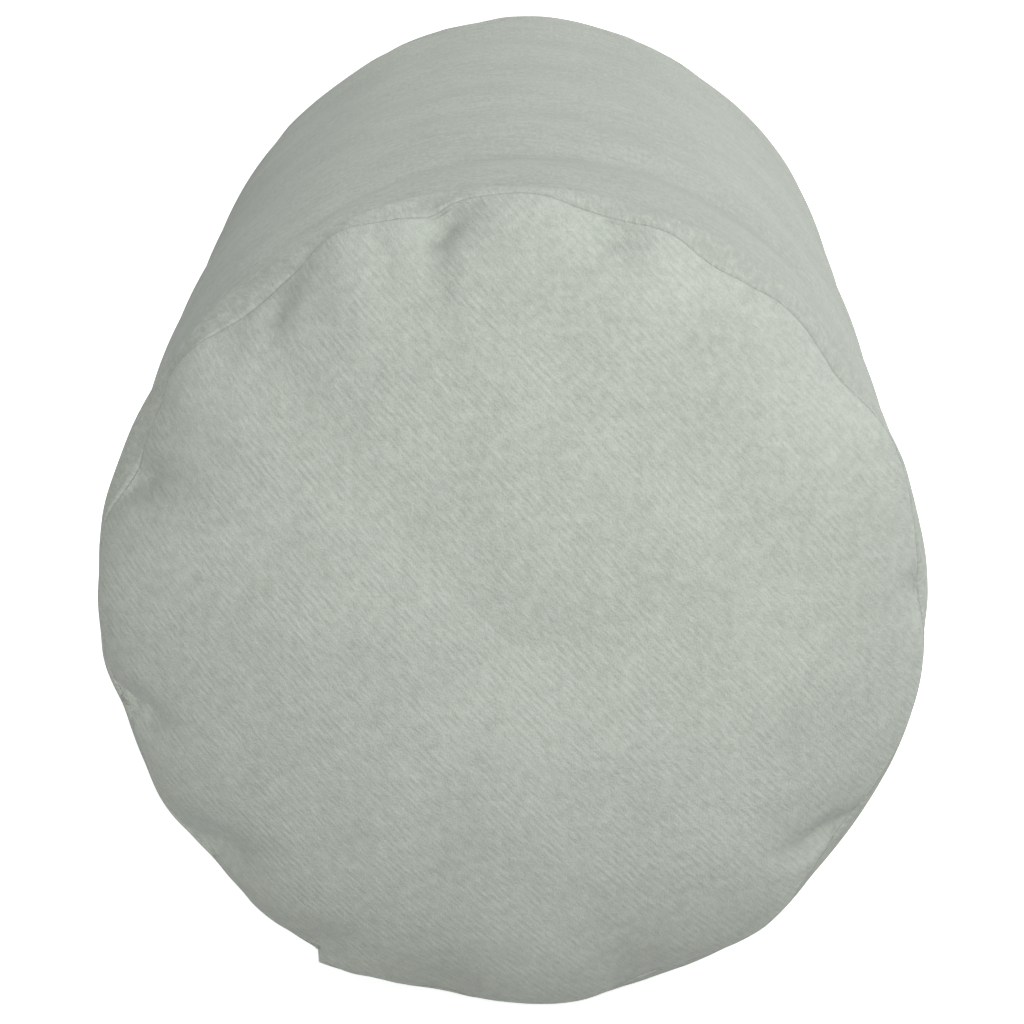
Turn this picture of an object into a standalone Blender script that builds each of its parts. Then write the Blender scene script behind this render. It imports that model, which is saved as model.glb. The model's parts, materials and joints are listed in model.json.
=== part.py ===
"""A bolster pillow for a massage table, in metres, +Z up.

The pillow lies along Y with its near end at -Y, and it rests on the flat that its weight presses into its underside.
The origin is the middle of that flat. A zipped cover goes round a sewn liner, and the liner holds wadding and foam.
Angles round the pillow are counted from straight down towards -X.
"""

import math

import bmesh
import bpy
from mathutils import Euler, Vector

# The pillow as a whole.
LENGTH = 0.500
DIAMETER = 0.200
SAG = 0.002
DOME_RISE = 0.040

# The roll of the cover into its end seams.
ROLL_LENGTH = 0.015
SEAM_INSET = 0.003

# Fabrics and fillings.
COVER_THICKNESS = 0.0010
LINER_THICKNESS = 0.0005
LINER_ROOM = 0.0009
WADDING_THICKNESS = 0.012
FOAM_ROOM = 0.0006
THREAD_SEGMENTS = 5

# Gap between pieces that touch.
FIT = 0.0003

# Where the zip runs, and how deep its tape lies under the cover's round.
ZIP_ANGLE = math.radians(30)
TAPE_DEPTH = 0.0025
ZIP_POCKET = 0.0045
ZIP_END = 0.0070

# Zip tape and coil: the tape's thickness and outer edge, and the coil's inner and outer edge and height.
TAPE_THICKNESS = 0.0006
TAPE_INNER_EDGE = 0.0010
TAPE_OUTER_EDGE = 0.0110
COIL_INNER_EDGE = 0.0007
COIL_OUTER_EDGE = 0.0027
COIL_HEIGHT = 0.0016

# The two folded facings that lie over the zip.
FACING_WIDTH = 0.0112
FACING_SLOT = 0.0032
FACING_FOLD = 0.0052
FACING_LIP = 0.0012

# Slider, its bail and its pull tab.
SLIDER_LENGTH = 0.0090
SLIDER_WALL = 0.0010
SLIDER_PLAY = 0.0005
POST_WIDTH = 0.0008
POST_LENGTH = 0.0025
BAIL_WIDTH = 0.0020
BAIL_LENGTH = 0.0060
BAIL_WALL = 0.0011
TAB_LENGTH = 0.018
TAB_WIDTH = 0.0062
TAB_ARM = 0.0010
TAB_THICKNESS = 0.0012
TAB_EYE_GAP = 0.0006
TAB_HANG_HOLE = 0.0012

# Stops at the two ends of the coil.
STOP_LENGTH = 0.0030
STOP_RISE = 0.0011

# The blank care label inside the cover.
LABEL_LENGTH = 0.040
LABEL_ANGLE = math.radians(120)
LABEL_STEPS = 4
LABEL_FROM_SEAM = 0.025

SEGMENTS = 48
DOME_STEPS = 6
ROLL_STEPS = 3

RADIUS = DIAMETER / 2
AXIS_HEIGHT = RADIUS - SAG
SEAM_Y = LENGTH / 2 - DOME_RISE
SEAM_RADIUS = RADIUS - SEAM_INSET
STEP = 2 * math.pi / SEGMENTS
LINER_DEPTH = COVER_THICKNESS + LINER_ROOM
LABEL_THICKNESS = LINER_ROOM - 2 * FIT
THREAD_RADIUS = (LINER_ROOM - 2 * FIT) / 2
TAPE_TOP = TAPE_THICKNESS / 2
COIL_BOTTOM = TAPE_TOP + FIT
COIL_TOP = COIL_BOTTOM + COIL_HEIGHT
PLATE_BOTTOM = COIL_TOP + FIT
PLATE_TOP = PLATE_BOTTOM + SLIDER_WALL
LIP_BOTTOM = PLATE_TOP + FIT
LIP_TOP = LIP_BOTTOM + FACING_LIP
PIVOT_HEIGHT = LIP_TOP + FIT + TAB_THICKNESS / 2
OPENING_END = SEAM_Y - ROLL_LENGTH - FIT
FACING_END = OPENING_END - 2 * FIT
COIL_END = FACING_END - ZIP_END
SLIDER_HALF_WIDTH = COIL_OUTER_EDGE + SLIDER_PLAY + SLIDER_WALL
SLIDER_Y = COIL_END - SLIDER_LENGTH / 2


def clear_scene():
    for thing in list(bpy.data.objects):
        bpy.data.objects.remove(thing, do_unlink=True)


def material(name, colour, roughness, metallic=0.0):
    made = bpy.data.materials.new(name)
    made.use_nodes = True
    shader = made.node_tree.nodes["Principled BSDF"]
    shader.inputs["Base Color"].default_value = (*colour, 1.0)
    shader.inputs["Roughness"].default_value = roughness
    shader.inputs["Metallic"].default_value = metallic
    return made


def add_object(name, mesh, look, smooth=True):
    """Puts a finished bmesh into the scene as one named object."""
    data = bpy.data.meshes.new(name)
    mesh.to_mesh(data)
    mesh.free()
    if smooth:
        data.shade_smooth()
        data.set_sharp_from_angle(angle=math.radians(35))
    data.materials.append(look)
    made = bpy.data.objects.new(name, data)
    bpy.context.scene.collection.objects.link(made)
    return made


def face_away_from(mesh, middle):
    """Turns every face away from a point inside the shape."""
    bmesh.ops.recalc_face_normals(mesh, faces=mesh.faces)
    face = max(mesh.faces, key=lambda f: (f.calc_center_median() - middle).length)
    if face.normal.dot(face.calc_center_median() - middle) < 0:
        bmesh.ops.reverse_faces(mesh, faces=mesh.faces)


def loft(rings, closed=True, capped=True):
    """A skin through rings of points that all hold as many points, with a face at each end if it is capped."""
    mesh = bmesh.new()
    rows = [[mesh.verts.new(point) for point in ring] for ring in rings]
    count = len(rings[0])
    for row, following in zip(rows, rows[1:]):
        for i in range(count if closed else count - 1):
            j = (i + 1) % count
            mesh.faces.new((row[i], row[j], following[j], following[i]))
    if capped:
        mesh.faces.new(rows[0])
        mesh.faces.new(rows[-1])
    return mesh


def thicken(piece, thickness):
    """Gives a sheet its thickness on its inner side."""
    solid = piece.modifiers.new("Thickness", "SOLIDIFY")
    solid.thickness = thickness
    solid.offset = -1
    solid.use_even_offset = True


def round_edges(piece, width, segments=2):
    bevel = piece.modifiers.new("Rounded edges", "BEVEL")
    bevel.width = width
    bevel.segments = segments
    bevel.limit_method = "ANGLE"


def around(angle, y, radius):
    """The point at an angle, a place along the pillow and a distance from its axis."""
    return Vector((-radius * math.sin(angle), y, AXIS_HEIGHT - radius * math.cos(angle)))


def pressed(angle, radius, floor, pocket=None):
    """Distance from the axis of a round skin that is pressed flat on the floor and, inside the cover, at the zip."""
    reach = radius
    if math.cos(angle) > 0.5:
        reach = min(reach, floor / math.cos(angle))
    turned = math.cos(angle - ZIP_ANGLE)
    if pocket is not None and turned > 0.5:
        reach = min(reach, pocket / turned)
    return reach


def roll_stations():
    """Places along the pillow where the cover rolls into its two seams, each with how far it is drawn in there."""
    near = []
    for i in range(ROLL_STEPS + 1):
        turn = math.pi / 2 * i / ROLL_STEPS
        y = -SEAM_Y + ROLL_LENGTH * (1 - math.cos(turn))
        near.append((y, SEAM_INSET * (1 - math.sin(turn))))
    far = [(-y, inset) for y, inset in reversed(near)]
    return near, far


def turns_beside(edge):
    """Turns round the cover from one edge of its slit to the other, none closer to an edge than a sliver."""
    sliver = STEP / 16
    turns = [edge]
    for i in range(1, SEGMENTS):
        nearest = edge + i * sliver
        farthest = 2 * math.pi - edge - (SEGMENTS - i) * sliver
        turns.append(min(max(i * STEP, nearest), farthest))
    return [*turns, 2 * math.pi - edge]


def cover_tube(look):
    """One width of fabric round the pillow. Its two long edges stop at the zip and close up past the zip's ends."""
    slit = math.asin((FACING_WIDTH + FIT) / RADIUS)
    shut = FIT / 2 / RADIUS
    near, far = roll_stations()
    opened = [(-OPENING_END, 0, slit), (OPENING_END, 0, slit)]
    stations = [(*place, shut) for place in near] + opened + [(*place, shut) for place in far]
    rings = []
    for y, inset, edge in stations:
        angles = [ZIP_ANGLE + turn for turn in turns_beside(edge)]
        rings.append([around(a, y, pressed(a, RADIUS - inset, AXIS_HEIGHT)) for a in angles])
    mesh = loft(rings, closed=False, capped=False)
    face_away_from(mesh, Vector((0, 0, AXIS_HEIGHT)))
    thicken(add_object("cover_tube", mesh, look), COVER_THICKNESS)


def dome(rim_radius, rim_y, rise, side):
    """A quarter ellipse turned once round the pillow's axis. side is -1 at the near end and +1 at the far end."""
    mesh = bmesh.new()
    profile = []
    for i in range(DOME_STEPS + 1):
        turn = math.pi / 2 * i / DOME_STEPS
        y = side * (rim_y + rise * math.sin(turn))
        profile.append(mesh.verts.new((0, y, AXIS_HEIGHT - rim_radius * math.cos(turn))))
    edges = [mesh.edges.new(pair) for pair in zip(profile, profile[1:])]
    bmesh.ops.spin(
        mesh,
        geom=profile + edges,
        axis=(0, 1, 0),
        cent=(0, 0, AXIS_HEIGHT),
        angle=2 * math.pi,
        steps=SEGMENTS,
        use_merge=True,
    )
    bmesh.ops.remove_doubles(mesh, verts=mesh.verts, dist=1e-6)
    return mesh


def end_panel(name, look, side, depth, thickness):
    """A round of fabric that bulges out of the pillow's end, lying the given depth inside the cover's outer face."""
    mesh = dome(SEAM_RADIUS - depth, SEAM_Y + FIT, DOME_RISE - FIT - depth, side)
    face_away_from(mesh, Vector((0, 0, AXIS_HEIGHT)))
    thicken(add_object(name, mesh, look), thickness)


def seam_thread(name, look, side):
    """The lockstitched thread that lies on the inside of an end seam."""
    ring_radius = SEAM_RADIUS - COVER_THICKNESS - FIT - THREAD_RADIUS
    mesh = bmesh.new()
    circle = []
    for i in range(THREAD_SEGMENTS):
        turn = 2 * math.pi * i / THREAD_SEGMENTS
        out, along = THREAD_RADIUS * math.cos(turn), THREAD_RADIUS * math.sin(turn)
        circle.append(mesh.verts.new(around(0, side * (SEAM_Y + FIT / 2) + along, ring_radius + out)))
    edges = [mesh.edges.new((a, b)) for a, b in zip(circle, circle[1:] + circle[:1])]
    bmesh.ops.spin(
        mesh,
        geom=circle + edges,
        axis=(0, 1, 0),
        cent=(0, 0, AXIS_HEIGHT),
        angle=2 * math.pi,
        steps=SEGMENTS,
        use_merge=True,
    )
    bmesh.ops.recalc_face_normals(mesh, faces=mesh.faces)
    add_object(name, mesh, look)


def inner_ring(y, depth, inset=0.0):
    """A ring of points the given depth inside the liner's outer face, flat under the zip and over the floor."""
    radius = RADIUS - LINER_DEPTH - depth - inset
    floor = AXIS_HEIGHT - LINER_DEPTH - depth
    pocket = RADIUS - ZIP_POCKET - depth
    angles = [i * STEP for i in range(SEGMENTS)]
    return [around(a, y, pressed(a, radius, floor, pocket)) for a in angles]


def liner_tube(look):
    near, far = roll_stations()
    rings = [inner_ring(y, 0, inset) for y, inset in near + far]
    mesh = loft(rings, capped=False)
    face_away_from(mesh, Vector((0, 0, AXIS_HEIGHT)))
    thicken(add_object("liner_tube", mesh, look), LINER_THICKNESS)


def wadding_wrap(look, depth, end):
    """The sleeve of wadding round the foam."""
    mesh = loft([inner_ring(-end, depth), inner_ring(end, depth)], capped=False)
    face_away_from(mesh, Vector((0, 0, AXIS_HEIGHT)))
    thicken(add_object("wadding_wrap", mesh, look), WADDING_THICKNESS)


def wadding_end(name, look, side, depth, flat_y):
    """The plump pad of wadding between the foam's end and the liner's end."""
    mesh = dome(SEAM_RADIUS - depth, SEAM_Y + FIT, DOME_RISE - FIT - depth, side)
    rim = [edge for edge in mesh.edges if edge.is_boundary]
    wall = bmesh.ops.extrude_edge_only(mesh, edges=rim)["geom"]
    back = [item for item in wall if isinstance(item, bmesh.types.BMVert)]
    for vert in back:
        vert.co.y = side * flat_y
    bmesh.ops.contextual_create(mesh, geom=[item for item in wall if isinstance(item, bmesh.types.BMEdge)])
    bmesh.ops.recalc_face_normals(mesh, faces=mesh.faces)
    add_object(name, mesh, look)


def foam_core(look, depth, end):
    mesh = loft([inner_ring(-end, depth), inner_ring(end, depth)])
    bmesh.ops.recalc_face_normals(mesh, faces=mesh.faces)
    add_object("foam_core", mesh, look)


def care_label(look):
    """A blank label between the cover and the liner, sewn in near the far seam."""
    first = round(LABEL_ANGLE / STEP)
    angles = [(first + i) * STEP for i in range(LABEL_STEPS + 1)]
    depth = COVER_THICKNESS + FIT
    far = SEAM_Y - LABEL_FROM_SEAM
    rings = [[around(a, y, RADIUS - depth) for a in angles] for y in (far - LABEL_LENGTH, far)]
    mesh = loft(rings, closed=False, capped=False)
    face_away_from(mesh, Vector((0, 0, AXIS_HEIGHT)))
    thicken(add_object("care_label", mesh, look), LABEL_THICKNESS)


def zip_frame():
    """An empty on the tape's mid-plane: its X goes across the zip, Y along it and Z out of the pillow."""
    frame = bpy.data.objects.new("zip_frame", None)
    frame.location = around(ZIP_ANGLE, 0, RADIUS - TAPE_DEPTH)
    frame.rotation_euler = Euler((0, math.pi + ZIP_ANGLE, 0))
    bpy.context.scene.collection.objects.link(frame)
    return frame


def bar(name, look, outline, start, end, frame):
    """A straight bar along the zip, from its outline across the zip."""
    rings = [[Vector((x, y, z)) for x, z in outline] for y in (start, end)]
    mesh = loft(rings)
    bmesh.ops.recalc_face_normals(mesh, faces=mesh.faces)
    made = add_object(name, mesh, look, smooth=False)
    made.parent = frame
    return made


def rectangle(left, right, low, high):
    return [(left, low), (right, low), (right, high), (left, high)]


def zip_side(where, sign, looks, frame):
    """The pieces on one side of the zip: its facing, tape, coil and top stop."""
    slot, fold = FACING_SLOT / 2, FACING_FOLD
    facing = [
        (fold, COIL_BOTTOM),
        (FACING_WIDTH, COIL_BOTTOM),
        (FACING_WIDTH, LIP_TOP),
        (slot, LIP_TOP),
        (slot, LIP_BOTTOM),
        (fold, LIP_BOTTOM),
    ]
    tape = rectangle(TAPE_INNER_EDGE, TAPE_OUTER_EDGE, -TAPE_TOP, TAPE_TOP)
    coil = rectangle(COIL_INNER_EDGE, COIL_OUTER_EDGE, COIL_BOTTOM, COIL_TOP)
    stop = rectangle(COIL_INNER_EDGE, COIL_OUTER_EDGE, COIL_BOTTOM, COIL_TOP + STOP_RISE)
    stop_start = COIL_END + FIT
    pieces = (
        ("zip_facing_", "cover", facing, -FACING_END, FACING_END),
        ("zip_tape_", "tape", tape, -FACING_END, FACING_END),
        ("zip_coil_", "coil", coil, -COIL_END, COIL_END),
        ("zip_top_stop_", "metal", stop, stop_start, stop_start + STOP_LENGTH),
    )
    for name, slot_name, outline, start, end in pieces:
        sided = [(sign * x, z) for x, z in outline]
        bar(name + where, looks[slot_name], sided, start, end, frame)


def bottom_stop(look, frame):
    outline = rectangle(-COIL_OUTER_EDGE, COIL_OUTER_EDGE, COIL_BOTTOM, COIL_TOP + STOP_RISE)
    end = -COIL_END - FIT
    round_edges(bar("zip_bottom_stop", look, outline, end - STOP_LENGTH, end, frame), STOP_RISE / 3)


def block(low, high):
    """A box between two corners, as a helper that a Boolean joins on or cuts away."""
    mesh = bmesh.new()
    bmesh.ops.create_cube(mesh, size=1.0)
    low, high = Vector(low), Vector(high)
    bmesh.ops.scale(mesh, vec=high - low, verts=mesh.verts)
    bmesh.ops.translate(mesh, vec=(low + high) / 2, verts=mesh.verts)
    return mesh


def add_helper(name, mesh, look, parent):
    helper = add_object(name, mesh, look, smooth=False)
    helper.parent = parent
    helper.hide_render = True
    helper.display_type = "WIRE"
    return helper


def combine(piece, helper, operation):
    step = piece.modifiers.new(helper.name, "BOOLEAN")
    step.operation = operation
    step.object = helper
    step.solver = "EXACT"


def slider(look, frame):
    """Two plates joined by a post between the coils, with side walls over the coils and a bail on top."""
    half, long = SLIDER_HALF_WIDTH, SLIDER_LENGTH / 2
    inner = half - SLIDER_WALL
    lower_top = -TAPE_TOP - FIT
    wall_bottom = COIL_BOTTOM
    plate = bpy.data.objects.new("zip_slider_place", None)
    plate.parent = frame
    plate.location = (0, SLIDER_Y, 0)
    bpy.context.scene.collection.objects.link(plate)
    outline = [
        (-half, PLATE_TOP),
        (-half, wall_bottom),
        (-inner, wall_bottom),
        (-inner, PLATE_BOTTOM),
        (inner, PLATE_BOTTOM),
        (inner, wall_bottom),
        (half, wall_bottom),
        (half, PLATE_TOP),
    ]
    body = bar("zip_slider", look, outline, -long, long, plate)
    overlap = SLIDER_WALL / 2
    post = block(
        (-POST_WIDTH / 2, long - POST_LENGTH, lower_top - overlap),
        (POST_WIDTH / 2, long - overlap, PLATE_BOTTOM + overlap),
    )
    lower = block((-half, -long, lower_top - SLIDER_WALL), (half, long, lower_top))
    bail_base = PLATE_TOP - overlap
    bail_bottom = PIVOT_HEIGHT + TAB_THICKNESS / 2 + FIT
    bail = block(
        (-BAIL_WIDTH / 2, -BAIL_LENGTH / 2, bail_base),
        (BAIL_WIDTH / 2, BAIL_LENGTH / 2, bail_bottom + BAIL_WALL),
    )
    eye = block(
        (-BAIL_WIDTH, -BAIL_LENGTH / 2 + BAIL_WALL, PLATE_TOP),
        (BAIL_WIDTH, BAIL_LENGTH / 2 - BAIL_WALL, bail_bottom),
    )
    for name, mesh, operation in (
        ("slider_post", post, "UNION"),
        ("slider_lower_plate", lower, "UNION"),
        ("slider_bail", bail, "UNION"),
        ("slider_bail_eye", eye, "DIFFERENCE"),
    ):
        combine(body, add_helper(name, mesh, look, plate), operation)
    return plate


def pull_tab(look, slider_place):
    """A plate with a loop at one end. Its origin is on the axis of the bar that turns in the slider's bail."""
    pivot = bpy.data.objects.new("zip_pull_pivot", None)
    pivot.parent = slider_place
    pivot.location = (0, 0, PIVOT_HEIGHT)
    bpy.context.scene.collection.objects.link(pivot)
    half_bar = TAB_THICKNESS / 2
    corner = Vector((BAIL_LENGTH / 2, 0, half_bar + FIT + BAIL_WALL)).length
    neck = corner + TAB_EYE_GAP
    inner = BAIL_WIDTH / 2 + FIT
    outer = inner + TAB_ARM
    grip_half = TAB_WIDTH / 2
    outline = [
        (-outer, half_bar),
        (outer, half_bar),
        (outer, -neck),
        (grip_half, -neck - grip_half + outer),
        (grip_half, -TAB_LENGTH + grip_half / 2),
        (grip_half / 2, -TAB_LENGTH),
        (-grip_half / 2, -TAB_LENGTH),
        (-grip_half, -TAB_LENGTH + grip_half / 2),
        (-grip_half, -neck - grip_half + outer),
        (-outer, -neck),
    ]
    rings = [[Vector((x, y, z)) for x, y in outline] for z in (-half_bar, half_bar)]
    mesh = loft(rings)
    bmesh.ops.recalc_face_normals(mesh, faces=mesh.faces)
    tab = add_object("zip_pull_tab", mesh, look, smooth=False)
    tab.parent = pivot
    eye = block((-inner, -neck, -TAB_THICKNESS), (inner, -half_bar, TAB_THICKNESS))
    combine(tab, add_helper("tab_eye", eye, look, pivot), "DIFFERENCE")
    hole = bmesh.new()
    bmesh.ops.create_cone(
        hole,
        cap_ends=True,
        segments=16,
        radius1=TAB_HANG_HOLE,
        radius2=TAB_HANG_HOLE,
        depth=2 * TAB_THICKNESS,
    )
    bmesh.ops.translate(hole, vec=(0, grip_half - TAB_LENGTH, 0), verts=hole.verts)
    combine(tab, add_helper("tab_hang_hole", hole, look, pivot), "DIFFERENCE")


def looks():
    return {
        "cover": material("brushed_twill", (0.412, 0.462, 0.392), 0.85),
        "liner": material("liner_cotton", (0.80, 0.79, 0.74), 0.9),
        "wadding": material("white_wadding", (0.88, 0.88, 0.86), 0.95),
        "foam": material("upholstery_foam", (0.78, 0.72, 0.52), 0.9),
        "thread": material("sewing_thread", (0.36, 0.41, 0.34), 0.7),
        "tape": material("zip_tape", (0.36, 0.41, 0.34), 0.8),
        "coil": material("zip_coil", (0.33, 0.38, 0.31), 0.45),
        "metal": material("zip_metal", (0.46, 0.47, 0.46), 0.35, 1.0),
        "label": material("label_satin", (0.86, 0.86, 0.84), 0.6),
    }


def build():
    clear_scene()
    look = looks()
    cover_tube(look["cover"])
    wrap_depth = LINER_THICKNESS + FIT
    core_depth = wrap_depth + WADDING_THICKNESS + FOAM_ROOM
    fill_end = SEAM_Y - ROLL_LENGTH - FIT
    for where, side in (("near", -1), ("far", 1)):
        end_panel("cover_end_" + where, look["cover"], side, 0, COVER_THICKNESS)
        end_panel("liner_end_" + where, look["liner"], side, LINER_DEPTH, LINER_THICKNESS)
        seam_thread("seam_thread_" + where, look["thread"], side)
        wadding_end("wadding_end_" + where, look["wadding"], side, LINER_DEPTH + wrap_depth, fill_end + FIT)
    liner_tube(look["liner"])
    wadding_wrap(look["wadding"], wrap_depth, fill_end)
    foam_core(look["foam"], core_depth, fill_end)
    care_label(look["label"])
    frame = zip_frame()
    zip_side("upper", 1, look, frame)
    zip_side("lower", -1, look, frame)
    bottom_stop(look["metal"], frame)
    pull_tab(look["metal"], slider(look["metal"], frame))


build()
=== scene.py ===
# %% [markdown]
# # A bolster pillow, dressed
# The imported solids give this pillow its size, its pieces and its two moving parts: the zip's
# slider and its pull tab. This lesson sews the looks round them: a brushed twill cover with a
# puffed panel at each end, the liner, wadding and foam inside, and the zip underneath.

# %% Start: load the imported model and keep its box
import json
import math

import bmesh
import bpy
import numpy as np
from mathutils import Matrix, Vector
from mathutils.bvhtree import BVHTree

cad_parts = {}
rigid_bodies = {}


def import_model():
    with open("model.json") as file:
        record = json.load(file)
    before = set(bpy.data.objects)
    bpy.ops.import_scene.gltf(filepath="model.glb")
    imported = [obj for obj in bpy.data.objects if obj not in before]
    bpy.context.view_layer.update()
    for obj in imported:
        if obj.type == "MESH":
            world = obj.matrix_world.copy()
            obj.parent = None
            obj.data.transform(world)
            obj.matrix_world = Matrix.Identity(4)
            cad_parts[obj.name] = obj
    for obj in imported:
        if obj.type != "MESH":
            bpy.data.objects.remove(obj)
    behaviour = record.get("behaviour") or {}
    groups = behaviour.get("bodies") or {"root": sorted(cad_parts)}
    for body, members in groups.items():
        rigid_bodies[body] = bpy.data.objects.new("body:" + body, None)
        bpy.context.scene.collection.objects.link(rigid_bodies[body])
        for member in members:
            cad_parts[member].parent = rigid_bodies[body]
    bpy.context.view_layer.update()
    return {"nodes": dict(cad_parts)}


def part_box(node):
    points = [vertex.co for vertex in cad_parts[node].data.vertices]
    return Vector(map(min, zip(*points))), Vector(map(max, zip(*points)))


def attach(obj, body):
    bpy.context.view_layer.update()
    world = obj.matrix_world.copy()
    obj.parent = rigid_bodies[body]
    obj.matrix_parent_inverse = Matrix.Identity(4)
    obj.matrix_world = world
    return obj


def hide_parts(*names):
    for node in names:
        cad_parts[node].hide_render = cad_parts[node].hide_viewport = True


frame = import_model()

# %% [markdown]
# ## Sizes
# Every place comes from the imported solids, so the looks can't drift from them. The pillow lies
# along Y with its near end at the lower Y, and `turn` means degrees round it from straight up,
# growing towards +X. The zip lies at -150, low on the left.

# %% Read the sizes
MM = 0.001
tube_low, tube_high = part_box("cover_tube")
RADIUS = (tube_high.x - tube_low.x) / 2
AXIS_Z = tube_high.z - RADIUS
near_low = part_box("cover_end_near")[0]
SEAM_Y = -tube_low.y
RISE = tube_low.y - near_low.y
ZIP_TURN = -150.0
print(f"radius {RADIUS:.4f}  axis at {AXIS_Z:.4f}  seams at +-{SEAM_Y:.4f}  end rise {RISE:.4f}")

# %% [markdown]
# ## A small language for shaders
# Cloth is drawn by sums of waves and noise. Wiring Math nodes by hand hides the sum, so one
# class wraps a socket and lets Python's own signs make the nodes: `1 - mask` adds a Subtract.
# Colours go through Mix nodes, because a Math node would turn them grey.

# %% The Wire class
class Wire:
    """One socket of a node tree. + - * / on it add Math nodes."""

    def __init__(self, tree, socket=None):
        self.tree = tree
        self.socket = socket

    def node(self, kind, settings=None, values=None, output=0):
        """A new node: its settings come first, then the values or links of its sockets."""
        made = self.tree.nodes.new(kind)
        for name, value in (settings or {}).items():
            setattr(made, name, value)
        for name, value in (values or {}).items():
            if isinstance(value, Wire):
                self.tree.links.new(value.socket, made.inputs[name])
            else:
                made.inputs[name].default_value = value
        return Wire(self.tree, made.outputs[output] if made.outputs else None)

    def math(self, operation, left, right=0.0):
        return self.node("ShaderNodeMath", {"operation": operation}, {0: left, 1: right})

    def __add__(self, other):
        return self.math("ADD", self, other)

    __radd__ = __add__

    def __sub__(self, other):
        return self.math("SUBTRACT", self, other)

    def __rsub__(self, other):
        return self.math("SUBTRACT", other, self)

    def __mul__(self, other):
        return self.math("MULTIPLY", self, other)

    __rmul__ = __mul__

    def __truediv__(self, other):
        return self.math("DIVIDE", self, other)

    def __rtruediv__(self, other):
        return self.math("DIVIDE", other, self)

    def wave(self):
        """0 to 1 and back, once for each whole number."""
        return self.math("SINE", self * (2 * math.pi)) * 0.5 + 0.5

    def between(self, low, high):
        """0 below low, 1 above high, smooth in the middle."""
        values = {"Value": self, "From Min": low, "From Max": high}
        return self.node("ShaderNodeMapRange", {"interpolation_type": "SMOOTHSTEP"}, values)

    def noise(self, scale, detail=2.0, roughness=0.5):
        values = {"Vector": self, "Scale": scale, "Detail": detail, "Roughness": roughness}
        return self.node("ShaderNodeTexNoise", {"noise_dimensions": "3D"}, values)

    def turned(self, degrees):
        """The same pattern, turned in its own plane."""
        values = {"Vector": self, "Rotation": (0.0, 0.0, math.radians(degrees))}
        return self.node("ShaderNodeMapping", {"vector_type": "POINT"}, values)

    def stretched(self, x, y, z=1.0):
        values = {0: self, 1: (x, y, z)}
        return self.node("ShaderNodeVectorMath", {"operation": "MULTIPLY"}, values)

    def part(self, axis):
        return self.node("ShaderNodeSeparateXYZ", {}, {0: self}, output=axis)

    def mix(self, share, first, second):
        """A colour from first to second."""
        values = {0: share, 6: first, 7: second}
        return self.node("ShaderNodeMix", {"data_type": "RGBA"}, values, output=2)


def new_material(name):
    made = bpy.data.materials.new(name)
    made.use_nodes = True
    made.node_tree.nodes.clear()
    return made, Wire(made.node_tree)


def finish_material(wire, colour, roughness, height=None, **constants):
    """A Principled shader. Only colour, roughness and bump vary: the rest is set on its sockets."""
    values = {"Base Color": colour, "Roughness": roughness}
    if height is not None:
        bump = {"Height": height, "Strength": constants.pop("Bump", 0.5), "Distance": 1.0}
        values["Normal"] = wire.node("ShaderNodeBump", {}, bump)
    values.update(constants)
    shader = wire.node("ShaderNodeBsdfPrincipled", {}, values)
    wire.node("ShaderNodeOutputMaterial", {}, {"Surface": shader})


def tint(red, green, blue):
    return (red, green, blue, 1.0)


print("a Wire adds, subtracts, multiplies and divides by making Math nodes")


# %% [markdown]
# ## The cover's cloth
# The cover is a cotton twill: slanting ribs 1.6 mm apart, brushed until a short nap half hides
# them. Each rib is a wave across the cloth, broken by long thin flecks where single yarns
# catch the light, with fine fuzz over it and slow, faint mottling from the nap lying two ways.
# The pattern follows the cut cloth, so it reads the UV map that each panel gets, in metres.

# %% Brushed twill
RIB_PITCH = 1.6 * MM


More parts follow.
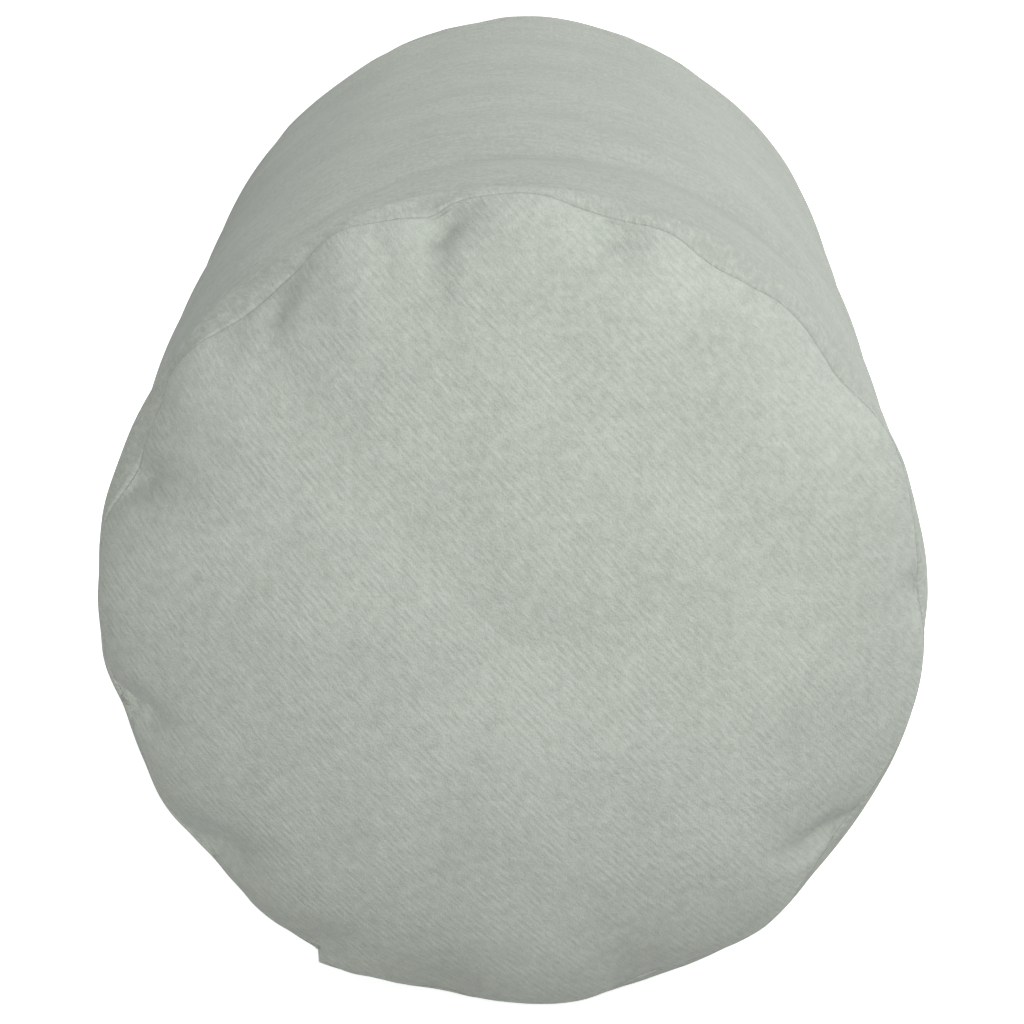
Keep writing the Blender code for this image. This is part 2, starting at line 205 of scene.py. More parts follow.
def brushed_twill(name, ribs=-43.0, rib_show=1.0, streaks=0.0, pile=0.0):
    """streaks run round the roll, pile along it; ribs is their slant in degrees."""
    made, wire = new_material(name)
    cloth = wire.node("ShaderNodeUVMap", {"uv_map": "cloth"})
    sway = cloth.noise(60.0, 1.0) - 0.5
    lined = cloth.turned(ribs)
    across = lined.part(0) / RIB_PITCH + sway * 0.9
    rib = across.wave()
    fleck = lined.stretched(1150.0, 330.0).noise(1.0, 1.0).between(0.32, 0.68)
    grain = cloth.noise(1900.0, 2.0, 0.6).between(0.36, 0.64)
    fuzz = cloth.noise(5200.0, 1.0)
    nap = cloth.noise(26.0, 3.0, 0.55)
    drift = cloth.turned(20.0).stretched(9.0, 14.0).noise(1.0, 2.0)
    worn = nap.between(0.35, 0.68)
    shown = 0.35 + 0.65 * cloth.noise(45.0, 2.0).between(0.35, 0.65)
    rubbed = cloth.noise(150.0, 2.0)
    mottle = cloth.noise(420.0, 2.0)
    wound = cloth.stretched(60.0, 300.0).noise(1.0, 3.0, 0.6)
    fibres = cloth.stretched(1050.0, 240.0).noise(1.0, 3.0, 0.65)
    lift = rib * shown * (0.34 * rib_show) + fleck * 0.36 + grain * 0.42
    slow = (
        (worn - 0.5) * 0.26 + (drift - 0.5) * 0.45 + (rubbed - 0.5) * 0.50
        + (mottle - 0.5) * 1.05
    )
    brushed = (wound - 0.5) * streaks + (fibres - 0.5) * pile
    # Painted shade: the tone darkens along the slack fold behind the near roll, where its shade
    # falls.
    painted_shade = wire.node("ShaderNodeAttribute", {"attribute_name": "nap_laid_over"}, {}, output=2)
    tone = (lift - 0.49) * 0.76 + slow + brushed + 0.5 - painted_shade * 0.28
    colour = wire.mix(tone, tint(0.330, 0.358, 0.315), tint(0.452, 0.484, 0.432))
    roughness = 0.86 + (worn - 0.5) * 0.06 + (fuzz - 0.5) * 0.08
    height = lift * 0.00020
    finish_material(
        wire, colour, roughness, height,
        **{"Bump": 0.8, "Specular IOR Level": 0.25, "Sheen Weight": 0.22,
           "Sheen Roughness": 0.55, "Sheen Tint": tint(0.95, 1.0, 0.95)},
    )
    return made


cover_cloth = brushed_twill("brushed_twill")
# On the tube the nap was brushed along the roll, over cloth wound on under tension.
tube_cloth = brushed_twill("brushed_twill_wound", rib_show=0.4, streaks=0.9, pile=1.8)
print("made", cover_cloth.name, "with", len(cover_cloth.node_tree.nodes), "nodes")

# %% [markdown]
# ## The pillow's true outline
# A stuffed bolster is never a clean cylinder. Its round ends are cut a little larger than the
# tube, so the seam pulls in where the extra cloth is eased away and stands out between. A few
# numbers at chosen turns, joined by a smooth closed curve, say how far each ring wanders.

# %% A smooth closed curve through a few chosen numbers
def wander(turns, knots):
    """Millimetres at these turns, from (turn, mm) knots, smooth all the way round."""
    places = np.array([place for place, _ in knots])
    amounts = np.array([amount for _, amount in knots])
    order = np.argsort(places)
    places = np.concatenate([places[order] - 360, places[order], places[order] + 360])
    amounts = np.tile(amounts[order], 3)
    after = np.clip(np.searchsorted(places, turns), 1, len(places) - 1)
    share = (turns - places[after - 1]) / (places[after] - places[after - 1])
    share = (1 - np.cos(np.pi * share)) / 2
    return amounts[after - 1] * (1 - share) + amounts[after] * share


SEAM_NEAR = [
    (-175, -2.4), (-169, -3.7), (-162, -3.2), (-153, -2.8), (-143, -3.1), (-130, -4.6),
    (-119, -3.4), (-107, -4.2), (-97, -2.0), (-88, -0.8), (-79, -0.6), (-68, -4.4),
    (-61, -3.2), (-54, -1.0), (-40, -5.4), (-34, -4.2), (-24, -0.5), (-17, -2.6),
    (-12, -3.9), (-8, -0.8), (2, -0.2), (12, -2.9), (21, -2.4), (30, -5.0), (41, -3.0),
    (53, -4.8), (66, -1.4), (86, -3.0), (100, -1.0), (127, -4.0), (143, -0.8), (160, -3.4),
    (174, -0.6),
]
SEAM_FAR = [
    (-165, -3.0), (-140, -1.0), (-122, -4.2), (-104, -1.2), (-80, -3.6), (-61, -0.8),
    (-38, -3.8), (-15, -0.9), (8, -3.4), (29, -1.0), (51, -4.0), (74, -0.9), (96, -3.2),
    (118, -1.2), (139, -3.8), (162, -1.0),
]
ROLL_NEAR = [
    (-174, 0.0), (-161, -0.8), (-145, -2.0), (-132, -3.2), (-120, -2.8), (-107, -2.4),
    (-96, -1.0), (-87, 0.3), (-60, 0.5), (-30, 0.3), (0, 0.0), (30, -0.4), (66, -1.6),
    (90, -0.7), (114, -0.6), (132, -0.5), (152, 1.2), (166, 1.0),
]
ROLL_FAR = [
    (-174, 0.0), (-150, -1.0), (-120, -0.4), (-90, 0.4), (-60, 0.0), (-36, -2.0), (-20, -0.9),
    (0, 1.0), (18, 0.2), (36, -0.8), (60, -0.4), (90, -0.6), (120, 0.0), (150, 0.6),
]
eased = [mm for _, mm in SEAM_NEAR]
print("the near seam wanders between", min(eased), "and", max(eased), "mm")

# %% [markdown]
# ## Puckers, folds and bands
# Beside the seam, each place where extra cloth was eased in leaves a small dimple in the end
# panel with a puff next to it. On the tube, cloth that was wound on under tension keeps faint
# bands round it. Both are moves of the surface along its normal, written as short lists.

# %% The dimples and bands
# turn, mm in from the seam, half length round, half length across, depth, lean (all mm)
DIMPLES_NEAR = [
    (-10.8, 8.0, 5.4, 6.0, 5.6, 0.15),
    (14.0, 7.5, 5.4, 5.6, 5.0, 0.1),
    (-38.0, 7.5, 5.2, 6.0, 3.8, 0.2),
    (-69.0, 7.0, 5.0, 7.5, 4.2, -0.4),
    (-106.0, 9.0, 5.2, 9.0, 5.8, 0.3),
    (-130.0, 10.0, 7.0, 9.0, 5.4, 0.3),
    (-152.0, 9.0, 6.0, 8.0, 3.2, 0.0),
    (-172.0, 9.0, 7.0, 8.0, 2.8, 0.0),
    (160.0, 7.0, 6.0, 7.0, 2.4, 0.0),
    (127.0, 9.0, 5.4, 8.0, 5.4, -0.5),
    (86.0, 4.5, 4.0, 5.0, 2.8, 0.0),
    (53.0, 4.0, 4.0, 4.5, 0.9, 0.0),
    (36.0, 3.5, 4.0, 4.0, 0.7, 0.0),
]
DIMPLES_FAR = [
    (-140, 8, 6, 8, 2.4, 0.3), (-80, 7, 5, 8, 2.6, -0.4), (-38, 9, 6, 8, 2.8, 0.3),
    (8, 8, 5, 7, 2.2, 0.0), (51, 8, 6, 8, 2.8, -0.4), (96, 6, 5, 7, 2.2, 0.3),
    (139, 9, 6, 8, 2.6, 0.0), (-165, 8, 5, 7, 2.0, 0.2),
]
# turn, mm behind the near seam, half length round, half length along, height
PUFFS = [
    (-18, 6, 9, 7, 1.6), (-4, 7, 9, 8, 0.8), (6, 6, 7, 6, 0.8), (25, 7, 12, 7, 0.7),
    (-45, 8, 10, 8, 1.0), (-76, 7, 9, 8, 0.9), (-98, 7, 8, 7, 1.0), (-120, 7, 9, 7, 1.0),
    (70, 8, 10, 8, 0.7), (140, 7, 9, 7, 1.0), (172, 7, 8, 7, 0.8), (46, 8, 9, 8, 0.7),
]
# (turn, mm behind the near seam) along a slack fold that winds round behind the near roll
FOLD = [
    (-120, 30), (-90, 22), (-58, 34), (-43, 26), (-32, 42), (-22, 63), (-15, 74), (-5, 84),
    (3, 87), (12, 96), (22, 104), (41, 104), (52, 98), (64, 92), (90, 90), (120, 70),
    (150, 52), (180, 40),
]
# mm behind the near seam, half width, height, slant in mm
BANDS = [
    (52, 16, 0.25, 6), (130, 18, 0.45, 10), (166, 12, -0.25, -8), (203, 20, 0.40, -12),
    (262, 22, -0.45, 10), (318, 18, 0.30, 14), (345, 10, -0.25, -10), (376, 16, 0.40, 8),
]
print(len(DIMPLES_NEAR), "dimples at the near end,", len(BANDS), "bands along the tube")

# %% [markdown]
# ## The stuffed shell
# One closed shell is spun from half an outline, then moved by the lists above. Keeping both
# ends and the tube in one shell means that the panels meet exactly at their seams. It could be
# three separate surfaces from the start, but then nothing would hold their edges together
# while the stuffing presses on them.

# %% Spin the shell
COLUMNS = 192
END_STEPS = 26
EDGE_STATIONS = [1.2, 2.8, 4.8, 7.2, 10.0, 13.5, 18.0, 23.5, 30.0, 37.0]
PUFF = 0.62


def end_outline():
    """(radius, distance beyond the seam) from the middle of an end out to its seam."""
    for step in range(END_STEPS + 1):
        lean = step / END_STEPS * math.pi / 2
        yield math.sin(lean) * RADIUS, math.cos(lean) ** (2 * PUFF) * RISE


def shell_outline():
    points = [(radius, -SEAM_Y - beyond) for radius, beyond in end_outline()]
    points += [(RADIUS, -SEAM_Y + mm * MM) for mm in EDGE_STATIONS]
    middle = np.linspace(-SEAM_Y + 0.045, SEAM_Y - 0.045, 42)
    points += [(RADIUS, y) for y in middle]
    points += [(RADIUS, -y) for _, y in points[END_STEPS + len(EDGE_STATIONS):END_STEPS:-1]]
    points += [(radius, SEAM_Y + beyond) for radius, beyond in reversed(list(end_outline()))]
    return points


def link_new(bm, name):
    """The bmesh as a smooth object in the scene, at the origin."""
    for face in bm.faces:
        face.smooth = True
    mesh = bpy.data.meshes.new(name)
    bm.to_mesh(mesh)
    bm.free()
    obj = bpy.data.objects.new(name, mesh)
    bpy.context.scene.collection.objects.link(obj)
    return obj


def spun(points, columns, name, closed=False):
    """Spins (radius, y) points round the pillow's axis."""
    bm = bmesh.new()
    verts = [bm.verts.new((0, y, AXIS_Z + max(radius, 1e-7))) for radius, y in points]
    pairs = list(zip(verts, verts[1:])) + ([(verts[-1], verts[0])] if closed else [])
    edges = [bm.edges.new(pair) for pair in pairs]
    bmesh.ops.spin(
        bm, geom=verts + edges, cent=(0, 0, AXIS_Z), axis=(0, 1, 0), angle=2 * math.pi,
        steps=columns, use_merge=True, use_duplicate=False,
    )
    bmesh.ops.remove_doubles(bm, verts=bm.verts, dist=2e-6)
    bmesh.ops.recalc_face_normals(bm, faces=bm.faces)
    return link_new(bm, name)


shell = spun(shell_outline(), COLUMNS, "stuffed_shell")
print("shell:", len(shell.data.vertices), "points,", len(shell.data.polygons), "faces")

# %% [markdown]
# ## Where each point of the shell goes
# A point is first described as cloth: its turn, how far in from the seam it lies on an end, or
# how far along the tube. Then the lists move it. The last move lays the pillow on the floor:
# whatever would hang below it is flattened there.

# %% Move the shell's points
def points_of(mesh):
    flat = np.empty(len(mesh.vertices) * 3)
    mesh.vertices.foreach_get("co", flat)
    return flat.reshape(-1, 3)


def place_points(mesh, points):
    mesh.vertices.foreach_set("co", np.ascontiguousarray(points, float).ravel())
    mesh.update()


def round_distance(turns, place):
    """Degrees from place, the short way."""
    return (turns - place + 180) % 360 - 180


def bell(distance, half):
    return np.exp(-((distance / half) ** 2))


DIMPLE_RING = 90  # mm from the axis to where the dimples lie


def dimple_depth(turns, inwards, dimples):
    """Metres of dimple at these turns, inwards mm from the seam."""
    total = np.zeros_like(turns)
    for place, inset, half_round, half_across, depth, lean in dimples:
        round_seam = np.radians(round_distance(turns, place)) * DIMPLE_RING
        along = round_seam + lean * (inwards - inset)
        steep = along * np.sign(lean + 0.01) < 0
        side = np.where(steep, half_round * 0.6, half_round * 1.25)
        total += depth * bell(along, side) * bell(inwards - inset, half_across)
    return total * MM


def laid_on_floor(points, give=1.0 * MM):
    """Flattens what hangs below the floor, softly over the last few millimetres."""
    z = points[:, 2]
    points[:, 2] = np.where(z < give, give * np.exp(np.minimum(z - give, 0) / give), z)
    return points


ROLL_WIDTH = 14.0  # mm over which the seam's wander becomes the tube's
TUBE_RING = 100  # mm from the axis to the tube's cloth
BAND_LIFT = 1.5  # how strongly the bands show
OUT_OF_REACH = 99.0  # mm in from a seam, where no dimple reaches


def tube_height(turns, y, seam):
    """Millimetres that the tube's cloth stands out beyond its radius."""
    along = np.clip((y + SEAM_Y) / (2 * SEAM_Y), 0, 1)
    roll = wander(turns, ROLL_NEAR) * (1 - along) + wander(turns, ROLL_FAR) * along
    inside = np.maximum(SEAM_Y - np.abs(y), 0) / MM
    rolled = np.sin(np.pi / 2 * np.clip(inside / ROLL_WIDTH, 0, 1))
    mm = seam * (1 - rolled) + roll * rolled
    behind = (y + SEAM_Y) / MM
    for place, back, half_round, half_along, height in PUFFS:
        near = np.radians(round_distance(turns, place)) * TUBE_RING
        puff = height * bell(near, half_round) * bell(behind - back, half_along)
        mm += puff * (np.abs(y) <= SEAM_Y)
    fold = wander(turns, FOLD)
    slack = behind - fold
    # The fold hangs deepest on top, just left of straight up.
    sag = 1.0 + 2.3 * bell(round_distance(turns, -10), 60)
    reach = np.where(slack < 0, 6 + 0.22 * fold, 36)
    mm -= sag * np.exp(-np.abs(slack) / reach) * rolled
    for back, half, height, slant in BANDS:
        sway = slant * np.sin(np.radians(turns + back))
        mm += BAND_LIFT * height * bell(behind - back - sway, half) * rolled
    return mm


def stuffed(points, dimpled=True):
    """Where the points of the spun shell go, with each one's turn and share of the radius."""
    x, y, z = points.T
    turns = np.degrees(np.arctan2(x, z - AXIS_Z))
    radius = np.hypot(x, z - AXIS_Z)
    share = np.clip(radius / RADIUS, 0, 1)
    beyond = np.maximum(np.abs(y) - SEAM_Y, 0)
    seam = np.where(y < 0, wander(turns, SEAM_NEAR), wander(turns, SEAM_FAR))
    on_end = beyond > 0
    end_radius = share * (RADIUS + seam * MM * share**2)
    new_radius = np.where(on_end, end_radius, RADIUS + tube_height(turns, y, seam) * MM)
    # The stuffing of an end sinks a little towards the floor.
    slump = 1 + 0.03 * np.cos(np.radians(turns - 170)) * share * (1 - share) * 4
    new_y = np.where(on_end, np.sign(y) * (SEAM_Y + beyond * slump), y)
    # Dimples press an end inwards along its own slope, from flat in the middle to the seam.
    inwards = np.where(on_end, arc_from_seam(share), OUT_OF_REACH)
    near_deep = dimple_depth(turns, inwards, DIMPLES_NEAR)
    far_deep = dimple_depth(turns, inwards, DIMPLES_FAR)
    deep = np.where(y < 0, near_deep, far_deep) * dimpled
    tilt = share**3
    new_radius = new_radius - deep * tilt * 0.8
    new_y = new_y - np.sign(y) * deep * np.sqrt(1 - 0.6 * tilt**2)
    turn = np.radians(turns)
    moved = np.stack(
        [new_radius * np.sin(turn), new_y, AXIS_Z + new_radius * np.cos(turn)], axis=1
    )
    return laid_on_floor(moved), turns, share


def arc_from_seam(share):
    """Millimetres of cloth from the seam in to this share of the radius."""
    outline = np.array(list(end_outline()))
    steps = np.hypot(*np.diff(outline, axis=0).T)
    length = np.concatenate([[0], np.cumsum(steps)])
    return (length[-1] - np.interp(share, outline[:, 0] / RADIUS, length)) / MM


def nap_laid_over(points, turns):
    """Painted shade along the tube's slack fold: 1 in the fold, fading to 0 on both sides."""
    fold = wander(turns, FOLD)
    slack = (points[:, 1] + SEAM_Y) / MM - fold
    shade_in_fold = np.where(slack < 0, np.exp(slack / (10 + 0.35 * fold)), np.exp(-slack / 4))
    return shade_in_fold * (np.abs(points[:, 1]) < SEAM_Y)


rest_points = points_of(shell.data)
shaped, turn_of, share_of = stuffed(rest_points.copy())
place_points(shell.data, shaped)
print("shell now spans", np.round(shaped.min(0), 4), np.round(shaped.max(0), 4))

# %% [markdown]
# ## Let the stuffing press
# The listed shape is a good guess, and cloth under pressure does the rest: between the
# stitched places it swells, and beside them it gathers. The seams, the bottoms of the dimples
# and the flat underneath are pinned. Each point may move only a little, so that the pillow
# keeps its size, and the middle of each end, which is drawn tight, hardly moves at all. The
# modifier is gone afterwards.

# %% Cloth simulation
MOST_SWELL = 1.1 * MM


def swollen(obj, pinned, frames=14):
    """Where the points of obj go when the stuffing presses on its cloth."""
    group = obj.vertex_groups.new(name="pinned")
    group.add([int(i) for i in np.flatnonzero(pinned)], 1.0, "REPLACE")
    cloth = obj.modifiers.new("cloth", "CLOTH")
    for setting, value in (
        ("quality", 4), ("mass", 0.25), ("tension_stiffness", 12), ("compression_stiffness", 12),
        ("bending_stiffness", 0.4), ("shrink_min", -0.006), ("use_pressure", True),
        ("uniform_pressure_force", 4.0), ("vertex_group_mass", "pinned"),
    ):
        setattr(cloth.settings, setting, value)
    cloth.settings.effector_weights.gravity = 0.0
    cloth.collision_settings.use_collision = False
    cloth.point_cache.frame_start = 1
    cloth.point_cache.frame_end = frames
    for number in range(1, frames + 1):
        bpy.context.scene.frame_set(number)
    graph = bpy.context.evaluated_depsgraph_get()
    result = points_of(obj.evaluated_get(graph).data)
    obj.modifiers.remove(cloth)
    obj.vertex_groups.clear()
    bpy.context.scene.frame_set(1)
    return result


on_seam = np.abs(np.abs(rest_points[:, 1]) - SEAM_Y) < 0.1 * MM
in_dimple = (np.abs(rest_points[:, 1]) > SEAM_Y) & (
    dimple_depth(turn_of, arc_from_seam(share_of), DIMPLES_NEAR) > 1.0 * MM
)
by_zip = (np.abs(round_distance(turn_of, ZIP_TURN)) < 15) & (np.abs(rest_points[:, 1]) < SEAM_Y)
on_floor = shaped[:, 2] < 2 * MM
on_end = np.abs(rest_points[:, 1]) > SEAM_Y
drawn_tight = on_end & (share_of < 0.55)
from_seam = np.abs(np.abs(rest_points[:, 1]) - SEAM_Y) / MM
free = np.where(on_end, np.clip((share_of - 0.55) / 0.3, 0, 1), 0.35 + 0.65 * bell(from_seam, 40))
swell = np.zeros_like(shaped)
pressed = swollen(shell, on_seam | in_dimple | by_zip | on_floor | drawn_tight)
swell = pressed - shaped
size = np.linalg.norm(swell, axis=1, keepdims=True)
swell *= free[:, None] * np.tanh(size / MOST_SWELL) * MOST_SWELL / np.maximum(size, 1e-9)
shaped = laid_on_floor(shaped + swell)
place_points(shell.data, shaped)
print(f"the cloth swelled {1000 * size.mean():.2f} mm on average, {1000 * size.max():.1f} at most")

# %% [markdown]
# ## Finer cloth
# One level of subdivision makes the shell smooth. Its rings survive, so each face still knows
# whether it belongs to an end or to the tube. A coarse copy without the dimples is kept for
# the layers inside, which only bulge gently under them.

# %% Subdivide the shell once
def subdivided(obj, levels=1):
    smooth = obj.modifiers.new("subdivide", "SUBSURF")
    smooth.levels = levels
    smooth.render_levels = levels
    graph = bpy.context.evaluated_depsgraph_get()
    obj.data = bpy.data.meshes.new_from_object(obj.evaluated_get(graph))
    obj.modifiers.clear()
    return obj


for face in shell.data.polygons:
    middle = rest_points[list(face.vertices)].mean(axis=0)
    face.material_index = 1 if abs(middle[1]) < SEAM_Y else (0 if middle[1] < 0 else 2)
for number in range(3):  # one material slot for each panel, so that its faces can be told
    shell.data.materials.append(cover_cloth)
# The painted shade of the slack fold, stored on the points for the tube's cloth to darken by.
painted_shade_layer = shell.data.attributes.new("nap_laid_over", "FLOAT", "POINT")
painted_shade_layer.data.foreach_set("value", nap_laid_over(rest_points, turn_of).astype(np.float32))
coarse = shell.data.copy()
place_points(coarse, stuffed(rest_points.copy(), dimpled=False)[0] + swell)
subdivided(shell)
print("fine shell:", len(shell.data.polygons), "faces")

# %% [markdown]
# ## The corner of the lap
# Where the zip's lap is caught in the near seam, it lifts the cloth of the roll and the rim of
# the end panel, and its folded edge makes a small square step in the outline, low on the left.
# The step is too sharp for the coarse shell, so it is raised now.

# %% Raise the lap's corner
LAP_RISE = 3.2


def raised_lap(points):
    x, y, z = points.T
    turns = np.degrees(np.arctan2(x, z - AXIS_Z))
    radius = np.hypot(x, z - AXIS_Z)
    edge = np.clip((ZIP_TURN - 0.7 - turns) / 1.3, 0, 1)
    back = np.clip((turns - ZIP_TURN + 24) / 23, 0, 1)
    mm = LAP_RISE * edge * edge * (3 - 2 * edge) * back * back
    behind = np.clip((y + SEAM_Y) / (22 * MM), 0, 1)
    rim = np.clip((radius / RADIUS - 0.86) / 0.12, 0, 1)
    mm = mm * np.where(y > -SEAM_Y, 1 - behind**2, rim * rim * (3 - 2 * rim))
    grown = (radius + mm * MM) / np.maximum(radius, 1e-9)
    return np.stack([x * grown, y, AXIS_Z + (z - AXIS_Z) * grown], axis=1)


place_points(shell.data, laid_on_floor(raised_lap(points_of(shell.data))))
print("the lap's corner stands", LAP_RISE, "mm proud")

# %% [markdown]
# ## Cutting the panels apart
# The near end, the tube and the far end become pieces of their own. At a seam each panel turns
# inwards for a few millimetres, right sides together, as a sewn edge does, which leaves the
# fine dark line of a real seam. Solidify then gives the cloth its 1 mm, all of it inwards.

# %% Cut out a panel
SEAM_GAP = 0.16 * MM
SEAM_DIP = 0.55 * MM
ALLOWANCE = 3.0 * MM
SLIT_HALF = 7.5 * MM
SLIT_END = 0.1935
TUBE = 1  # the tube's place among the three panels
zip_out = Vector((math.sin(math.radians(ZIP_TURN)), 0, math.cos(math.radians(ZIP_TURN))))
zip_side = Vector((zip_out.z, 0, -zip_out.x))  # across the zip, towards its upper facing


def panel(source, number, name):
    """The faces of one panel, with its edges turned in at the seams. The tube gets its slit."""
    bm = bmesh.new()
    bm.from_mesh(source)
    others = [face for face in bm.faces if face.material_index != number]
    bmesh.ops.delete(bm, geom=others, context="FACES")
    if number == TUBE:
        gone = []
        for face in bm.faces:
            middle = face.calc_center_median()
            beside = abs((middle - Vector((0, 0, AXIS_Z))).dot(zip_side))
            facing = (middle - Vector((0, 0, AXIS_Z))).dot(zip_out) > 0
            if facing and beside < SLIT_HALF and abs(middle.y) < SLIT_END:
                gone.append(face)
        bmesh.ops.delete(bm, geom=gone, context="FACES")
    rings = [edge for edge in bm.edges if edge.is_boundary and edge_on_seam(edge)]
    inwards = -1 if number == TUBE else 1
    for vert in {vert for edge in rings for vert in edge.verts}:
        away = Vector((vert.co.x, 0, vert.co.z - AXIS_Z)).normalized()
        vert.co -= away * SEAM_DIP
        vert.co.y += math.copysign(SEAM_GAP, vert.co.y) * inwards
    turned = bmesh.ops.extrude_edge_only(bm, edges=rings)["geom"]
    for vert in [item for item in turned if isinstance(item, bmesh.types.BMVert)]:
        away = Vector((vert.co.x, 0, vert.co.z - AXIS_Z)).normalized()
        vert.co -= away * ALLOWANCE
    for face in bm.faces:
        face.material_index = 0
    return link_new(bm, name)


def edge_on_seam(edge):
    return all(abs(abs(vert.co.y) - SEAM_Y) < 1.2 * MM for vert in edge.verts)


def cloth_map(obj, flat):
    """A UV map in metres. flat gives (u, v) for a point, knowing its face's middle."""
    layer = obj.data.uv_layers.new(name="cloth")
    verts = obj.data.vertices
    for face in obj.data.polygons:
        middle = face.center
        for corner in face.loop_indices:
            layer.data[corner].uv = flat(verts[obj.data.loops[corner].vertex_index].co, middle)


def flat_tube(point, middle):
    """Unrolled, with the cut at the zip."""
    turn = math.atan2(point.x, point.z - AXIS_Z) - math.radians(ZIP_TURN)
    centre = (math.atan2(middle.x, middle.z - AXIS_Z) - math.radians(ZIP_TURN)) % (2 * math.pi)
    turn = centre + (turn - centre + math.pi) % (2 * math.pi) - math.pi
    return (turn * RADIUS, point.y)


def flat_end(point, middle):
    """A dome pressed flat keeps its distance from the middle along the cloth."""
    radius = math.hypot(point.x, point.z - AXIS_Z)
    share = min(radius / RADIUS, 1)
    longer = 1 + 0.09 * share**2
    return (point.x * longer, (point.z - AXIS_Z) * longer)


def thick(obj, amount, offset=-1.0):
    wall = obj.modifiers.new("thickness", "SOLIDIFY")
    wall.thickness = amount
    wall.offset = offset
    wall.use_even_offset = False
    return obj


def wear(obj, material):
    obj.data.materials.clear()
    obj.data.materials.append(material)
    return obj


def dress(obj, body, slot, *nodes):
    """The last words on a piece: what it rides on and the CAD nodes it stands for; slot is not
    used.
    """
    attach(obj, body)
    if nodes:
        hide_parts(*nodes)
    print(obj.name, len(obj.data.polygons), "faces")
    return obj


PANELS = (
    ("cover_near_panel", "cover_end_near", flat_end, cover_cloth),
    ("cover_tube_panel", "cover_tube", flat_tube, tube_cloth),
    ("cover_far_panel", "cover_end_far", flat_end, cover_cloth),
)
for number, (name, node, flat, material) in enumerate(PANELS):
    piece = panel(shell.data, number, name)
    cloth_map(piece, flat)
    wear(piece, material)
    thick(piece, 1.0 * MM)
    dress(piece, "pillow", "cover_twill", node)

# %% [markdown]
# ## The other finishes
# Each of these is seen only from below or with the cover off, and each still needs its own
# weave or grain. Pieces that came from the solids have no UV map, so their patterns read
# Object coordinates, which are the same metres.

# %% Thread, tape, coil and metal
def painted(paint):
    """A material named after paint, which draws its pattern on Object coordinates."""
    made, wire = new_material(paint.__name__)
    paint(wire, wire.node("ShaderNodeTexCoord", {}, {}, output=3))
    return made


def sewing_thread(wire, place):
    twist = ((place.part(1) + place.part(0) * 0.6) / (0.35 * MM)).wave()
    fuzz = place.noise(4000.0, 2.0)
    colour = wire.mix(twist * 0.6 + fuzz * 0.4, tint(0.20, 0.22, 0.19), tint(0.33, 0.36, 0.31))
    finish_material(wire, colour, 0.72 + fuzz * 0.12, twist * 0.00004 + fuzz * 0.00002,
                    **{"Bump": 0.6, "Sheen Weight": 0.15, "Specular IOR Level": 0.35})


def zip_tape(wire, place):
    along = (place.part(1) / (0.55 * MM)).wave()
    zigzag = ((place.part(1) + place.part(0) * 0.9) / (1.1 * MM)).wave()
    weave = along * 0.55 + zigzag * 0.45
    fuzz = place.noise(3000.0, 2.0)
    tone = weave * 0.7 + fuzz * 0.3
    colour = wire.mix(tone, tint(0.22, 0.24, 0.21), tint(0.34, 0.37, 0.32))
    finish_material(wire, colour, 0.78 + fuzz * 0.1, weave * 0.00008 + fuzz * 0.00002,
                    **{"Bump": 0.7, "Sheen Weight": 0.10})


def zip_coil(wire, place):
    haze = place.noise(900.0, 3.0)
    rubbed = place.stretched(400.0, 2500.0, 400.0).noise(1.0, 2.0).between(0.45, 0.75)
    colour = wire.mix(rubbed, tint(0.25, 0.27, 0.235), tint(0.37, 0.40, 0.35))
    finish_material(wire, colour, 0.32 + haze * 0.14, haze * 0.00001,
                    **{"Bump": 0.4, "Specular IOR Level": 0.5})


def satin_metal(wire, place):
    brushed = place.stretched(7000.0, 500.0, 7000.0).noise(1.0, 3.0)
    cloud = place.noise(350.0, 3.0)
    worn = cloud.between(0.5, 0.75)
    colour = wire.mix(worn * 0.7 + brushed * 0.3, tint(0.53, 0.53, 0.51), tint(0.72, 0.71, 0.69))
    finish_material(wire, colour, 0.26 + brushed * 0.14 + cloud * 0.06, brushed * 0.000006,
                    **{"Bump": 0.35, "Metallic": 1.0})


print("four finishes for the zip and its thread")

# %% Label, liner, wadding and foam
def label_satin(wire, place):
    rows = (place.part(1) / (0.30 * MM)).wave()
    cross = (place.part(2) / (0.45 * MM)).wave()
    cloud = place.noise(260.0, 2.0)
    tone = rows * 0.4 + cross * 0.2 + cloud * 0.4
    colour = wire.mix(tone, tint(0.68, 0.68, 0.66), tint(0.84, 0.84, 0.82))
    finish_material(wire, colour, 0.36 + cloud * 0.14, rows * 0.00002 + cross * 0.00001,
                    **{"Bump": 0.5, "Sheen Weight": 0.2})


def liner_cotton(wire, place):
    wefts = ((place.part(1) + place.noise(50.0, 1.0) * 0.0004) / (0.62 * MM)).wave()
    warps = ((place.part(0) + place.part(2) * 0.35) / (0.66 * MM)).wave()
    slubs = place.stretched(120.0, 1400.0, 120.0).noise(1.0, 3.0)
    tone = wefts * 0.25 + warps * 0.25 + slubs * 0.5
    colour = wire.mix(tone, tint(0.62, 0.60, 0.54), tint(0.80, 0.78, 0.72))
    finish_material(wire, colour, 0.88 + slubs * 0.08, (wefts + warps + slubs) * 0.00004,
                    **{"Bump": 0.6, "Sheen Weight": 0.1})


def wadding(wire, place):
    tufts = place.noise(140.0, 5.0, 0.65)
    fibres = place.stretched(900.0, 260.0, 900.0).noise(1.0, 4.0, 0.7)
    tone = tufts * 0.6 + fibres * 0.4
    colour = wire.mix(tone, tint(0.70, 0.70, 0.69), tint(0.88, 0.88, 0.87))
    finish_material(wire, colour, 0.93 + fibres * 0.05, tufts * 0.0012 + fibres * 0.0004,
                    **{"Bump": 0.7, "Sheen Weight": 0.4})


